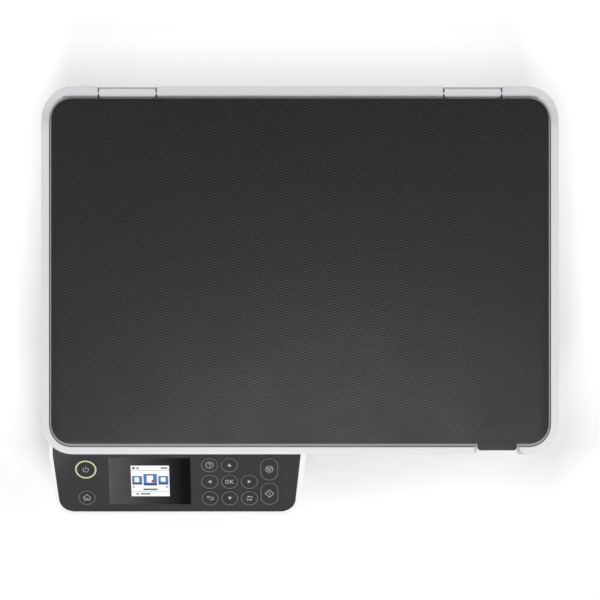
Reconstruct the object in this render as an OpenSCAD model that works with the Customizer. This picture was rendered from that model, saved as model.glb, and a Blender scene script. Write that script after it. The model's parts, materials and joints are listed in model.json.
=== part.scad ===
// Compact A4 all-in-one inkjet printer, flatbed scanner on top, tilting control panel at the front left.
// Millimetres. X right, Y back, Z up, floor at Z = 0, centred on the floor footprint.

/* [Body] */
// Overall width of the machine
body_width = 375; // [340:1:420]
// Overall height to the top of the scanner lid
body_height = 170; // [150:1:200]
// Front face of the machine body
front_y = -109; // [-115:0.5:-100]
// Rear face of the scanner unit
scanner_rear_y = 157.9; // [150:0.1:165]
// Wall thickness of the plastic mouldings
wall = 2.5; // [1.5:0.1:4]
// Height of the rubber feet
foot_height = 3; // [2:0.5:6]

/* [Scanner] */
// Underside of the scanner unit
scanner_z = 128; // [120:1:135]
// Corner radius of the scanner unit seen from above
scanner_corner = 22.8; // [10:0.2:30]
// Length of the scanning glass opening
glass_length = 300; // [297:1:310]
// Depth of the scanning glass opening
glass_depth = 217; // [216:1:225]
// Corner radius of the lid seen from above
lid_corner = 16; // [8:0.5:20]
// Gap between the lid and the rim around it
lid_gap = 0.5; // [0.4:0.1:1.5]

/* [Control panel] */
// Slope of the control panel from the horizontal
panel_tilt = 30; // [15:1:45]
// Length of the panel down its slope
panel_length = 52.9; // [45:0.1:60]
// Thickness of the panel housing
panel_thick = 12; // [10:0.5:16]
// Diameter of the small round keys
key_dia = 12.6; // [10:0.1:15]
// Distance between neighbouring keys
key_pitch = 14.8; // [13:0.1:18]

/* [Paper path] */
// Outside width of the paper cassette
cassette_width = 242; // [230:1:250]
// Height of the top edge of the paper cassette
cassette_top = 44.5; // [35:0.5:50]
// Radius of the feed roller
feed_radius = 6; // [4:0.5:8]
// Radius of the eject roller
eject_radius = 5; // [4:0.5:8]

/* [Print carriage] */
// Width of the print carriage
carriage_width = 76; // [60:1:90]
// Radius of the carriage guide shaft
shaft_radius = 4; // [3:0.5:5]
// Carriage centre when it is parked over the cap
park_x = 132; // [120:1:135]

/* [Hidden] */
$fn = 48;
half_w = body_width / 2;
front_skin = front_y + 0.5;
house_half = half_w - 2.5;
house_rear = 151;
house_top = scanner_z - 0.5;
house_rear_top = 121;
house_corner = 18;
base_half = half_w - 3.5;
base_top = 12;
floor_z = foot_height + 2.5;
recess_y = -96;
recess_x = 6.5;
recess_z = 60;
slot_half = 116;
slot_low = 58.5;
slot_high = 100;
cassette_half = cassette_width / 2;
cassette_low = 6;
run_gap = 0.05;
plate_x = 172;
plate_t = 1.5;
feed_y = 56;
feed_z = 62;
eject_y = -30;
eject_z = 60;
shaft_y = 50;
shaft_z = 86;
pulley_z = 99;
pulley_r = 6;
gear_pitch_r = 20;
pinion_pitch_r = 5;
pinion_angle = 50;
feed_teeth = 50;
pinion_teeth = 12;
mesh_dir = 90 - pinion_angle;
mesh_frac = mesh_dir * feed_teeth / 360 - floor(mesh_dir * feed_teeth / 360);
pinion_turn = 180 + mesh_dir + (mesh_frac - 0.5) * 360 / pinion_teeth;
pinion_y = feed_y + (gear_pitch_r + pinion_pitch_r) * cos(pinion_angle);
pinion_z = feed_z - (gear_pitch_r + pinion_pitch_r) * sin(pinion_angle);
pinch_r = 4;
pinch_z = feed_z + feed_radius + pinch_r + 0.3;
arm_y = 74;
arm_z = 56;
pickup_y = 104;
pickup_z = 55;
pickup_r = 8;
panel_top_y = -112.1;
panel_top_z = 126;
pivot_y = -104;
pivot_z = 121;
scan_hinge_y = 140;
scan_hinge_z = 120;
lid_hinge_y = 153.15;
lid_hinge_z = body_height - 8.3;
lid_front = -103.35;
lid_rear = 148.9;
lid_half = half_w - 6.1;
tab_x = 142.85;
tab_half = 14.1;
tab_front = -106.1;
deck_z = 158;
rim_top = 169;
strip_top = 164.2;
roll_front = lid_rear - 24;
roll_rear = lid_rear - 3;
roll_steps = 14;
block_in = 105;
block_out = 145.8;
bay_gap = 1.1;
// Key columns along X, key rows down the slope of the panel.
key_x = [-67.1, -52.4, -37.7, -22.8];
key_v = [8.4, 8.4 + key_pitch, 8.4 + 2 * key_pitch];
key_r = key_dia / 2;
slot_r = 6.6;
slot_h = 9.9;
power_r = 8;
home_r = 6.35;
key_gap = 0.3;
lcd_x0 = -142.4;
lcd_x1 = -81.4;
lcd_v0 = 2.4;
lcd_v1 = 43.6;
fascia_thick = 1.65;
fascia_gap = 0.12;
lip_front = -110.9;
lip_rear = -100.8;
lip_top = 126.6;
lip_left = -183.1;
lip_right = 0.6;
scan_rod_y = 23;
scan_rod_z = 136;

// ---- shared shapes ----

module box(x0, x1, y0, y1, z0, z1) {
    translate([x0, y0, z0]) cube([x1 - x0, y1 - y0, z1 - z0]);
}

module both(x0, x1, y0, y1, z0, z1) {
    box(x0, x1, y0, y1, z0, z1);
    box(-x1, -x0, y0, y1, z0, z1);
}

module rod_x(x0, x1, y, z, r) {
    translate([x0, y, z]) rotate([0, 90, 0]) cylinder(r = r, h = x1 - x0);
}

module rod_y(x, y0, y1, z, r) {
    translate([x, y1, z]) rotate([90, 0, 0]) cylinder(r = r, h = y1 - y0);
}

module rounded(x0, x1, y0, y1, r) {
    translate([x0 + r, y0]) square([x1 - x0 - 2 * r, y1 - y0]);
    translate([x0, y0 + r]) square([x1 - x0, y1 - y0 - 2 * r]);
    for (x = [x0 + r, x1 - r])
        for (y = [y0 + r, y1 - r])
            translate([x, y]) circle(r = r);
}

module slab(x0, x1, y0, y1, z0, z1, r) {
    translate([0, 0, z0]) linear_extrude(z1 - z0) rounded(x0, x1, y0, y1, r);
}

module ring_wall(x0, x1, y0, y1, z0, z1, r, t) {
    difference() {
        slab(x0, x1, y0, y1, z0, z1, r);
        slab(x0 + t, x1 - t, y0 + t, y1 - t, z0 - 1, z1 + 1, r - t);
    }
}

module post(x, y, z0, z1, r, hole) {
    translate([x, y, z0]) difference() {
        cylinder(r = r, h = z1 - z0);
        translate([0, 0, -1]) cylinder(r = hole, h = z1 - z0 + 2);
    }
}

// ---- printer body ----

module base_tray() {
    color([0.78, 0.78, 0.79]) difference() {
        slab(-base_half, base_half, front_y + 1.5, house_rear - 1, foot_height, base_top, house_corner - 1);
        slab(-base_half + wall, base_half - wall, front_y + 1.5 + wall, house_rear - 1 - wall,
            floor_z, base_top + 40, house_corner - 1 - wall);
        box(-cassette_half - 1.5, cassette_half + 1.5, front_y - 1, front_y + 8, floor_z, 60);
        for (x = [-114:12:108])
            box(x, x + 6, 46, 104, foot_height - 1, floor_z + 1);
        both(136, 142, 46, 104, foot_height - 1, floor_z + 1);
        both(154, 160, 46, 104, foot_height - 1, floor_z + 1);
    }
    color([0.78, 0.78, 0.79]) {
        both(cassette_half + 2.5, cassette_half + 5, front_y + 12, house_rear - 14, floor_z - 0.5, 46);
        for (y = [-70, -30])
            both(cassette_half + 4, base_half - wall + 0.5, y, y + 1.6, floor_z - 0.5, base_top - 1);
    }
}

module rubber_feet() {
    color([0.12, 0.12, 0.13])
        for (x = [-150, 150])
            for (y = [-85, 130])
                translate([x, y, 0]) cylinder(r1 = 8, r2 = 9, h = foot_height);
}

// Side and rear walls of the body, with the ears that carry the scanner unit.
module body_housing() {
    color([0.83, 0.83, 0.84]) difference() {
        union() {
            ring_wall(-house_half, house_half, recess_y, house_rear, base_top, house_top, house_corner, wall);
            for (x = [-141, -126, 121, 136])
                box(x, x + 5, scan_hinge_y - 5, house_rear - 1, scan_hinge_z - 12, house_rear_top);
            for (x = [-141, -126, 121, 136])
                rod_x(x, x + 5, scan_hinge_y, scan_hinge_z, 5);
            both(house_half - 7, house_half - 1, -60, -52, base_top + 18, base_top + 20.5);
            both(house_half - 7, house_half - 1, 96, 104, base_top + 18, base_top + 20.5);
        }
        box(-house_half - 1, house_half + 1, recess_y - 1, -80, base_top - 1, house_top + 1);
        for (x = [-141, -126, 121, 136])
            rod_x(x - 1, x + 6, scan_hinge_y, scan_hinge_z, 3 + run_gap);
        box(-house_half - 1, house_half + 1, 132, house_rear + 1, house_rear_top + 4, house_top + 1);
        box(-119.5, 119.5, house_rear - 4, house_rear + 1, 18, 112);
        box(-house_half - 1, house_half + 1, house_rear - 6, house_rear + 1, house_rear_top, house_top);
        box(-164.5, -143.5, house_rear - 4, house_rear + 1, 15.5, 32.5);
        box(143.5, 156.5, house_rear - 4, house_rear + 1, 15.5, 27.5);
        for (side = [-1, 1])
            for (z = [30:7:65])
                for (y = [70:22:114])
                    translate([side * house_half, y, z]) cube([12, 16, 2.6], center = true);
    }
}

// Front moulding: cassette mouth, paper slot, and the bay that the control panel folds into.
module front_frame() {
    ear_x = [-158, -147, -38, -27];
    color([0.86, 0.86, 0.87]) difference() {
        union() {
            difference() {
                slab(-house_half, house_half, front_skin, 0, base_top, house_top, 12);
                slab(-house_half + wall, house_half - wall, front_skin + wall, 1, base_top - 1, house_top + 1, 9.5);
                box(-house_half - 1, house_half + 1, -80, 1, base_top - 1, house_top + 1);
                box(-house_half - 1, recess_x, front_skin - 1, recess_y - wall, recess_z, house_top + 1);
            }
            box(-house_half + 1, recess_x, front_skin + 1, recess_y, recess_z - wall, recess_z);
            box(-house_half + 1, recess_x + wall, recess_y - wall, recess_y, recess_z - wall, house_top);
            box(recess_x, recess_x + wall, front_skin + 0.5, recess_y, recess_z - wall, house_top);
            box(recess_x, slot_half + 3, front_skin + 1, recess_y, slot_high, slot_high + wall);
            box(slot_half, slot_half + wall, front_skin + 1, recess_y, slot_low - 8, slot_high + wall);
            box(-slot_half - wall, -slot_half, front_skin + 1, recess_y, slot_low - 8, recess_z);
            for (x = ear_x) {
                rod_x(x, x + 3, pivot_y, pivot_z, 4.2);
                box(x, x + 3, pivot_y, recess_y - 1, pivot_z - 3, pivot_z + 3);
            }
        }
        box(-cassette_half - 1.2, cassette_half + 1.2, front_skin - 2, -81, 0, 46);
        box(-slot_half, slot_half, front_skin - 2, -90, slot_low, slot_high);
        box(-slot_half, slot_half, front_skin - 2, -90, 46, slot_low + 1);
        for (x = ear_x)
            rod_x(x - 1, x + 4, pivot_y, pivot_z, 1.8 + run_gap);
        box(30, 60, front_skin - 1, -90, slot_high + 8, slot_high + 9.2);
    }
}

// Rear access cover with the curved ribs that turn the paper.
module rear_cover() {
    color([0.8, 0.8, 0.81]) {
        difference() {
            slab(-119, 119, house_rear - wall, house_rear + 12, 18.5, 111.5, 1);
            slab(-116.5, 116.5, house_rear - wall - 3, house_rear + 12 - wall, 21, 109, 1);
            box(-121, 121, house_rear + 3.5, house_rear + 20, 0, 130);
        }
        box(-117, 117, house_rear + 1, house_rear + 3.5, 21, 109);
        for (x = [-104:16:104])
            difference() {
                box(x - 0.8, x + 0.8, 138, house_rear + 1.5, 24, 100);
                rod_x(x - 2, x + 2, 112, 65, 31);
            }
        box(-40, 40, house_rear + 3, house_rear + 5, 92, 98);
    }
}

// Plastic deck over the cassette bay, with the tray runners and the pickup ears.
module paper_frame() {
    color([0.16, 0.16, 0.17]) difference() {
        union() {
            box(-plate_x, plate_x, 2, 44, 46, 48.5);
            box(-plate_x, -24, 43, 110, 46, 48.5);
            box(24, 134, 43, 110, 46, 48.5);
            both(112.8, 116, -94, 4, 45.6, 53);
            both(110.5, 113.5, -94, 4, 45.5, 46.4);
            for (side = [-1, 1])
                box(side * 21 - 1.5, side * 21 + 1.5, 62, 82, 48, 62);
            for (x = [-100, -60, 60, 100])
                box(x - 6, x + 6, 4, 30, 48, 54);
            box(-24, 24, 43, 63, 46, 48.5);
        }
        rod_x(-30, 30, arm_y, arm_z, 2 + run_gap);
    }
}

// Folded steel chassis: two side plates and the rail that joins them.
module chassis() {
    color([0.7, 0.71, 0.73]) difference() {
        union() {
            both(plate_x, plate_x + plate_t, -44, 86, 50, 114);
            box(-plate_x - plate_t, plate_x + plate_t, 66, 66 + plate_t, 76, 114);
            box(-plate_x - plate_t, plate_x + plate_t, 66, 76, 112.5, 114);
            both(plate_x - 10, plate_x + plate_t, -44, -30, 48.5, 50);
            both(plate_x - 10, plate_x + plate_t, 4, 40, 48.5, 50);
            rod_y(park_x + 20, 60, 67, pulley_z, 1.5);
            both(plate_x, plate_x + plate_t, -44, 40, 48.5, 51);
            box(plate_x, plate_x + plate_t, 40, 92, 26, 51);
        }
        rod_x(-200, 200, feed_y, feed_z, 3 + run_gap);
        rod_x(-200, 200, eject_y, eject_z, 2.5 + run_gap);
        rod_x(-200, 200, shaft_y, shaft_z, shaft_radius);
        rod_x(150, 200, pinion_y, pinion_z, 4);
        rod_y(-park_x - 18, 60, 80, pulley_z, 4);
        for (x = [-120:40:120])
            box(x - 8, x + 8, 60, 80, 84, 92);
    }
}

module guide_shaft() {
    color([0.82, 0.83, 0.85]) difference() {
        rod_x(-plate_x - plate_t - 2, plate_x + plate_t + 2, shaft_y, shaft_z, shaft_radius);
        for (x = [-plate_x - plate_t - 1.2, plate_x + plate_t + 0.4])
            difference() {
                rod_x(x, x + 0.8, shaft_y, shaft_z, shaft_radius + 1);
                rod_x(x - 1, x + 2, shaft_y, shaft_z, shaft_radius - 0.6);
            }
    }
}

// Ribbed platen under the print heads.
module platen() {
    color([0.12, 0.12, 0.13]) {
        difference() {
            box(-110, 110, -22, 46, 54, 57.5);
            box(-105, 105, -6, 24, 55.5, 58.5);
        }
        for (x = [-104:13:104])
            box(x - 0.8, x + 0.8, -22, 46, 57, 60.5);
        for (x = [-100, -60, 60, 100])
            box(x - 5, x + 5, 5, 29, 54, 55);
    }
}

// Capping station with two rubber cap lips and a wiper blade.
module cap_base() {
    color([0.2, 0.2, 0.21]) {
        difference() {
            box(116, 150, -10, 34, 48.5, 58);
            box(119, 147, 2, 31, 52, 60);
        }
        for (y = [4, 18])
            difference() {
                box(121, 145, y, y + 11, 51.5, 61.5);
                box(122.5, 143.5, y + 1.5, y + 9.5, 55, 63);
            }
        box(124, 142, -6.5, -5.3, 57.5, 62);
    }
}

module main_board() {
    color([0.1, 0.35, 0.2]) difference() {
        box(130, 177, -60, 138, 14, 15.6);
        for (x = [134, 173])
            for (y = [-50, 122])
                translate([x, y, 13.9]) cylinder(r = 1.6, h = 4);
    }
    color([0.1, 0.1, 0.1]) {
        box(142, 164, -30, -8, 15.5, 17.8);
        box(140, 154, 4, 16, 15.5, 17.2);
        box(158, 172, 40, 52, 15.5, 17.2);
        box(136, 142, -58, -36, 15.5, 22);
        box(170, 176, -30, 10, 15.5, 23);
        box(134, 160, 62, 68, 15.5, 24);
    }
    color([0.3, 0.35, 0.6])
        for (y = [80, 92, 104])
            translate([166, y, 15.5]) cylinder(r = 4, h = 9);
    color([0.78, 0.78, 0.79])
        for (x = [134, 173])
            for (y = [-50, 30, 122])
                translate([x, y, floor_z]) cylinder(r = 3, h = 14.1 - floor_z);
}

// Switch-mode supply in a folded cover, open at the rear for the inlet.
module power_supply() {
    color([0.2, 0.2, 0.21]) difference() {
        box(-177, -131, 10, 128, floor_z, 42);
        box(-175.5, -132.5, 11.5, 126.5, floor_z + 3.5, 40.5);
        for (y = [24:9:114])
            box(-170, -138, y, y + 4, 39, 44);
    }
    color([0.75, 0.62, 0.3]) {
        box(-170, -138, 20, 118, floor_z + 3.4, floor_z + 5.2);
        box(-166, -142, 50, 76, floor_z + 5, 32);
        for (y = [28, 92])
            translate([-154, y, floor_z + 5]) cylinder(r = 8, h = 22);
    }
}

// Two-pin figure-eight mains inlet.
module ac_inlet() {
    color([0.08, 0.08, 0.09]) difference() {
        union() {
            box(-164, -144, 134, house_rear, 16, 32);
            box(-165.5, -142.5, house_rear, house_rear + 1.2, 14.5, 33.5);
        }
        translate([-154, house_rear + 2, 24]) rotate([90, 0, 0]) linear_extrude(13.5) {
            for (x = [-4.3, 4.3])
                translate([x, 0]) circle(r = 3.9);
            square([8.6, 7.0], center = true);
        }
    }
    color([0.8, 0.7, 0.35])
        for (x = [-4.3, 4.3])
            rod_y(-154 + x, 132, house_rear - 1.5, 24, 1.2);
    color([0.08, 0.08, 0.09]) box(-162, -146, 128, 134.5, 15, 18);
}

// Type B data socket.
module usb_socket() {
    color([0.72, 0.73, 0.75]) difference() {
        box(144, 156, 132, house_rear, 15.6, 27);
        box(145, 155, 137, house_rear + 1, 16.6, 26);
    }
    color([0.1, 0.1, 0.1]) box(147.5, 152.5, 136, 146, 19.8, 22.8);
}

module dc_motor(length) {
    difference() {
        union() {
            cylinder(r = 12, h = length);
            translate([0, 0, -1.2]) cylinder(r = 4, h = 1.3);
            translate([0, 0, length - 0.1]) cylinder(r = 5, h = 2);
        }
        for (a = [0, 90, 180, 270])
            rotate([0, 0, a]) translate([9, 0, length - 1]) cylinder(r = 1.2, h = 3);
    }
}

module carriage_motor() {
    color([0.6, 0.61, 0.63]) {
        translate([-park_x - 18, 66 + plate_t, pulley_z]) rotate([-90, 0, 0]) dc_motor(26);
        rod_y(-park_x - 18, 59.5, 80, pulley_z, 1);
    }
}

module feed_motor() {
    color([0.6, 0.61, 0.63]) {
        translate([plate_x, pinion_y, pinion_z]) rotate([0, -90, 0]) dc_motor(28);
        rod_x(160, plate_x + 9.2, pinion_y, pinion_z, 1);
    }
}

// Toothed belt that pulls the carriage, one closed loop round the two pulleys.
module drive_belt() {
    inner = pulley_r + 0.4;
    outer = pulley_r + 1.4;
    left = -park_x - 18;
    right = park_x + 20;
    color([0.1, 0.1, 0.11]) translate([0, 64, pulley_z]) rotate([90, 0, 0]) linear_extrude(4) difference() {
        union() {
            translate([left, -outer]) square([right - left, 2 * outer]);
            for (x = [left, right])
                translate([x, 0]) circle(r = outer);
        }
        translate([left, -inner]) square([right - left, 2 * inner]);
        for (x = [left, right])
            translate([x, 0]) circle(r = inner);
    }
}

module encoder_strip() {
    color([0.25, 0.25, 0.26]) {
        box(-plate_x + 1, plate_x - 1, 59.1, 59.4, 84, 88);
        both(plate_x - 4, plate_x, 58.6, 59.9, 83, 89);
    }
}

module chassis_screws() {
    color([0.72, 0.73, 0.75])
        for (side = [-1, 1])
            for (y = [-37, 12, 32])
                translate([side * (plate_x - 6), y, 0]) {
                    translate([0, 0, 50]) cylinder(r = 2.6, h = 1.6);
                    translate([0, 0, 50 + 0.6]) cylinder(r = 1.6, h = 1.4);
                }
}

// ---- paper cassette ----

// Rear half of the telescoping cassette, open at the front, with the slots of the side guides.
module cassette_tray() {
    inner = cassette_half - 2;
    color([0.25, 0.25, 0.26]) difference() {
        union() {
            difference() {
                box(-cassette_half, cassette_half, front_y + 8, 136, cassette_low, cassette_top);
                box(-inner, inner, front_y, 134, cassette_low + 2.5, cassette_top + 1);
            }
            for (x = [-52:26:52])
                box(x - 1, x + 1, -60, 134.5, cassette_low + 2.4, cassette_low + 3.4);
            box(-16, 16, 104, 126, cassette_low + 2.4, cassette_low + 4);
        }
        box(-14, 14, 106, 124, cassette_low + 3.2, cassette_low + 5);
        box(-inner, inner, 120, 137, 24, cassette_top + 1);
        both(20, 88, 34, 46, cassette_low - 1, cassette_low + 4);
        both(inner - 1, cassette_half + 1, -60, -20, 36, cassette_top + 1);
        for (x = [-30:12:30])
            box(x, x + 5, -30, 10, cassette_low - 1, cassette_low + 5);
    }
}

// Front half of the cassette, with the front cover and the finger grip.
module cassette_extension() {
    low = cassette_low + 4.2;
    color([0.84, 0.84, 0.85]) difference() {
        union() {
            box(-118, 118, -106, 8, low, low + 1.8);
            both(116.2, 118, -106, 8, low, low + 20);
            slab(-cassette_half - 0.3, cassette_half + 0.3, front_y - 0.5, front_y + 5.5,
                cassette_low - 0.2, cassette_top + 0.6, 1.5);
            box(-50, 50, front_y + 4, front_y + 12, low + 1, 42);
            box(-60, 60, -90, -86, low + 1, low + 8);
        }
        box(-44, 44, front_y - 1, front_y + 9.5, 22, 36);
        box(-44, 44, front_y + 3.5, front_y + 9.5, 22, 39.5);
        for (x = [-90:24:90])
            box(x, x + 8, -76, -10, low - 1, low + 3);
    }
}

module paper_guide(side) {
    low = cassette_low + 4.2;
    difference() {
        union() {
            box(side * 106 - 1, side * 106 + 1, 14, 82, low, 38);
            box(side * 80 - 27, side * 80 + 27, 36, 44, low, low + 1.4);
            box(side * 80 - 6, side * 80 + 6, 37, 43, cassette_low + 1, low + 0.5);
            box(side * 98 - 8, side * 98 + 8, 30, 66, low, low + 1.4);
            box(side * 110 - 4, side * 110 + 4, 48, 49.5, low, 24);
            box(side * 108 - 6, side * 108 + 6, 40, 56, low, low + 1.4);
        }
        for (y = [20:8:76])
            box(side * 106 - 3, side * 106 + 3, y, y + 3, 32, 35);
        for (x = [-52:4:52])
            box(side * 80 - 0.8 + x * 0.5, side * 80 + 0.8 + x * 0.5, 43, 45, low - 1, low + 2);
    }
}

module guide_left() {
    color([0.25, 0.25, 0.26]) paper_guide(-1);
}

module guide_right() {
    color([0.25, 0.25, 0.26]) paper_guide(1);
}

// ---- output tray ----

module output_tray() {
    color([0.15, 0.15, 0.16]) difference() {
        union() {
            box(-112, 112, -102, -4, 46.9, 49.3);
            slab(-112, 112, -108, -101, 46.9, 57.8, 1.5);
            both(108, 112, -102, -4, 46.9, 52);
            box(-99, 99, -12, -4, 46.9, 52.5);
            both(50.5, 53, -96, -20, 49, 52.6);
            both(48.5, 53, -96, -20, 51.9, 52.6);
        }
        for (x = [-84, -72, 72, 84])
            box(x - 1, x + 1, -96, -20, 48.6, 50);
        box(-50.5, 50.5, -109, -98, 49.3, 60);
    }
}

module tray_extension() {
    color([0.17, 0.17, 0.18]) difference() {
        union() {
            box(-50, 50, -101, -16, 49.7, 51.5);
            slab(-50, 50, -108, -100, 49.7, 53.6, 1);
        }
        for (x = [-36, -28, 28, 36])
            box(x - 1, x + 1, -90, -24, 51, 52);
        box(-16, 16, -105.3, -80, 50.4, 54);
        rod_x(-18, 18, -103.3, 51.7, 0.65);
        box(-18, 18, -80.5, -78, 50.8, 54);
    }
}

// Flip-up stop at the end of the extension.
module paper_stop() {
    color([0.15, 0.15, 0.16]) difference() {
        union() {
            box(-15.5, 15.5, -103.3, -81, 50.9, 52.2);
            rod_x(-15.5, 15.5, -103.3, 51.7, 0.9);
            rod_x(-17.6, 17.6, -103.3, 51.7, 0.6);
        }
        box(-9, 9, -97, -86, 50, 51.5);
    }
}

// ---- control panel ----

module in_panel() {
    translate([0, panel_top_y, panel_top_z]) rotate([panel_tilt, 0, 0]) children();
}

// Panel outline: tapered sides, square at the top edge, rounded at the front corners.
module panel_shape(top_left, top_right, top, bottom_left, bottom_right, bottom, r) {
    hull() {
        translate([top_left, -top - 1]) square([1, 1]);
        translate([top_right - 1, -top - 1]) square([1, 1]);
        translate([bottom_left + r, -bottom + r]) circle(r = r, $fn = 32);
        translate([bottom_right - r, -bottom + r]) circle(r = r, $fn = 32);
    }
}

module panel_outline() {
    panel_shape(-185.6, 4.5, -1.5, -182.5, 0.5, panel_length, 14.5);
}

module fascia_outline() {
    panel_shape(-183.1, 0.6, -1.4, -180.1, -3.2, 50.4, 11.5);
}

module panel_housing() {
    arm_x = [-154.6, -34.6];
    color([0.92, 0.92, 0.93]) difference() {
        in_panel() difference() {
                translate([0, 0, -panel_thick]) linear_extrude(panel_thick) panel_outline();
                translate([0, 0, -fascia_thick]) linear_extrude(3) {
                    fascia_outline();
                    translate([-183.1, 0]) square([183.7, 4]);
                }
                translate([0, 0, -panel_thick + 1.7]) linear_extrude(panel_thick) intersection() {
                    offset(r = -2.2) fascia_outline();
                    translate([-200, -60]) square([220, 59]);
                }
        }
        for (x = arm_x)
            rod_x(x - 4, x + 11.2, pivot_y, pivot_z, 4.9);
    }
    color([0.92, 0.92, 0.93]) {
        box(-185.6, lip_left, lip_front, lip_rear, 119.5, lip_top);
        box(lip_right, 4.5, lip_front, lip_rear, 119.5, lip_top);
        for (x = arm_x) {
            rod_x(x - 3.4, x + 10.6, pivot_y, pivot_z, 1.8);
            rod_x(x, x + 7.2, pivot_y, pivot_z, 4);
            difference() {
                in_panel() box(x, x + 7.2, -1, 4.5, -panel_thick, -4.5);
                in_panel() box(x - 1, x + 8, 2.5, 6, -panel_thick - 1, -panel_thick + 0.6);
            }
        }
        in_panel()
            for (x = [-168, -90, -16])
                for (y = [-8, -42])
                    translate([x, y, -panel_thick + 1.6]) cylinder(r = 2.4, h = panel_thick - 1.6 - 8.8);
    }
}

module key_hole(x, v, r) {
    translate([x, -v]) circle(r = r);
}

module slot_hole(x, v, r, half) {
    translate([x, -v + half - r]) circle(r = r);
    translate([x, -v - half + r]) circle(r = r);
    translate([x - r, -v - half + r]) square([2 * r, 2 * (half - r)]);
}

// Dark face plate of the panel; its upper edge runs level under the scanner rim.
module panel_fascia() {
    color([0.24, 0.24, 0.25]) {
        in_panel() translate([0, 0, -fascia_thick]) linear_extrude(fascia_thick) difference() {
            offset(r = -fascia_gap) fascia_outline();
            for (p = [[0, 0], [1, 0], [0, 1], [1, 1], [2, 1], [0, 2], [1, 2], [2, 2]])
                key_hole(key_x[p[0]], key_v[p[1]], key_r + key_gap);
            slot_hole(key_x[3], 12.1, slot_r + key_gap, slot_h + key_gap);
            slot_hole(key_x[3], 33.9, slot_r + key_gap, slot_h + key_gap);
            key_hole(-159, 12.4, power_r + key_gap);
            key_hole(-159, 37.5, home_r + key_gap);
            translate([lcd_x0 - 0.05, -lcd_v1 - 0.05]) square([lcd_x1 - lcd_x0 + 0.1, lcd_v1 - lcd_v0 + 0.1]);
        }
        box(lip_left + fascia_gap, lip_right - fascia_gap, lip_front, lip_rear, lip_top - 1.1, lip_top);
    }
}

module lcd_window() {
    color([0.05, 0.05, 0.07]) in_panel() difference() {
        translate([0, 0, -1.6]) linear_extrude(1.6) translate([lcd_x0, -lcd_v1])
            square([lcd_x1 - lcd_x0, lcd_v1 - lcd_v0]);
        box(-126.5, -96.5, -37.5, -8.5, -2, -1.2);
    }
}

module lcd_module() {
    color([0.7, 0.72, 0.75]) in_panel() {
        box(-130, -93, -40, -5, -7.2, -3.2);
        box(-128, -95, -38.5, -6.5, -3.3, -1.65);
        box(-118, -105, -44, -39.9, -7.2, -6.8);
    }
}

module panel_board() {
    color([0.1, 0.35, 0.2]) in_panel() difference() {
        box(-174, -10, -45.5, -3.5, -8.8, -7.2);
        for (x = [-168, -90, -16])
            for (y = [-8, -42])
                translate([x, y, -10]) cylinder(r = 1, h = 4);
    }
}

// A key: cap flush with the fascia, a flange that holds it in, and a stem over the board switch.
module round_key(x, v, r, flange) {
    color([0.22, 0.22, 0.23]) in_panel() translate([x, -v, 0]) {
        translate([0, 0, -3]) cylinder(r = r, h = 3.4);
        translate([0, 0, -3.2]) cylinder(r = flange, h = 0.9);
        translate([0, 0, -6]) cylinder(r = 2, h = 3);
    }
}

module slot_key(v) {
    color([0.22, 0.22, 0.23]) in_panel() {
        translate([0, 0, -3]) linear_extrude(3.4) slot_hole(key_x[3], v, slot_r, slot_h);
        translate([0, 0, -3.2]) linear_extrude(0.9) slot_hole(key_x[3], v, slot_r + 0.5, slot_h + 0.5);
        translate([key_x[3], -v, -6]) cylinder(r = 2, h = 3);
    }
}

module key_power() { round_key(-159, 12.4, power_r, power_r + 0.9); }
module key_home() { round_key(-159, 37.5, home_r, home_r + 0.8); }
module key_help() { round_key(key_x[0], key_v[0], key_r, key_r + 0.7); }
module key_up() { round_key(key_x[1], key_v[0], key_r, key_r + 0.7); }
module key_left() { round_key(key_x[0], key_v[1], key_r, key_r + 0.7); }
module key_ok() { round_key(key_x[1], key_v[1], key_r, key_r + 0.7); }
module key_right() { round_key(key_x[2], key_v[1], key_r, key_r + 0.7); }
module key_back() { round_key(key_x[0], key_v[2], key_r, key_r + 0.7); }
module key_down() { round_key(key_x[1], key_v[2], key_r, key_r + 0.7); }
module key_sides() { round_key(key_x[2], key_v[2], key_r, key_r + 0.7); }
module key_stop() { slot_key(12.1); }
module key_start() { slot_key(33.9); }

// ---- scanner unit ----

module scanner_case() {
    y0 = front_y;
    y1 = scanner_rear_y;
    color([0.86, 0.86, 0.87]) difference() {
        union() {
            ring_wall(-half_w, half_w, y0, y1, scanner_z, 150, scanner_corner, wall);
            slab(-half_w + 1, half_w - 1, y0 + 1, y1 - 1, scanner_z, scanner_z + 2, scanner_corner - 1);
            box(-154, 154, -90, -88.5, scanner_z + 1, 153.2);
            box(-154, 154, 134.5, 136, scanner_z + 1, 153.2);
            both(154, 155.5, -90, 136, scanner_z + 1, 153.2);
            both(150, 156, scan_rod_y - 8, scan_rod_y + 8, scanner_z + 1, scan_rod_z + 8);
            for (x = [-172, 172])
                for (y = [-80, 30, 140])
                    translate([x, y, scanner_z + 1]) cylinder(r = 4, h = 24);
            both(128, 134, scan_hinge_y - 5, scan_hinge_y + 5, scan_hinge_z - 1, scanner_z + 1);
            for (side = [-1, 1]) {
                rod_x(side * 131 - 3, side * 131 + 3, scan_hinge_y, scan_hinge_z, 5);
                rod_x(side * 131 - 10, side * 131 + 10, scan_hinge_y, scan_hinge_z, 3);
            }
        }
        rod_x(-153.5, 153.5, scan_rod_y, scan_rod_z, 3);
        for (x = [-172, 172])
            for (y = [-80, 30, 140])
                translate([x, y, scanner_z + 6]) cylinder(r = 1.4, h = 24);
    }
}

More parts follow.
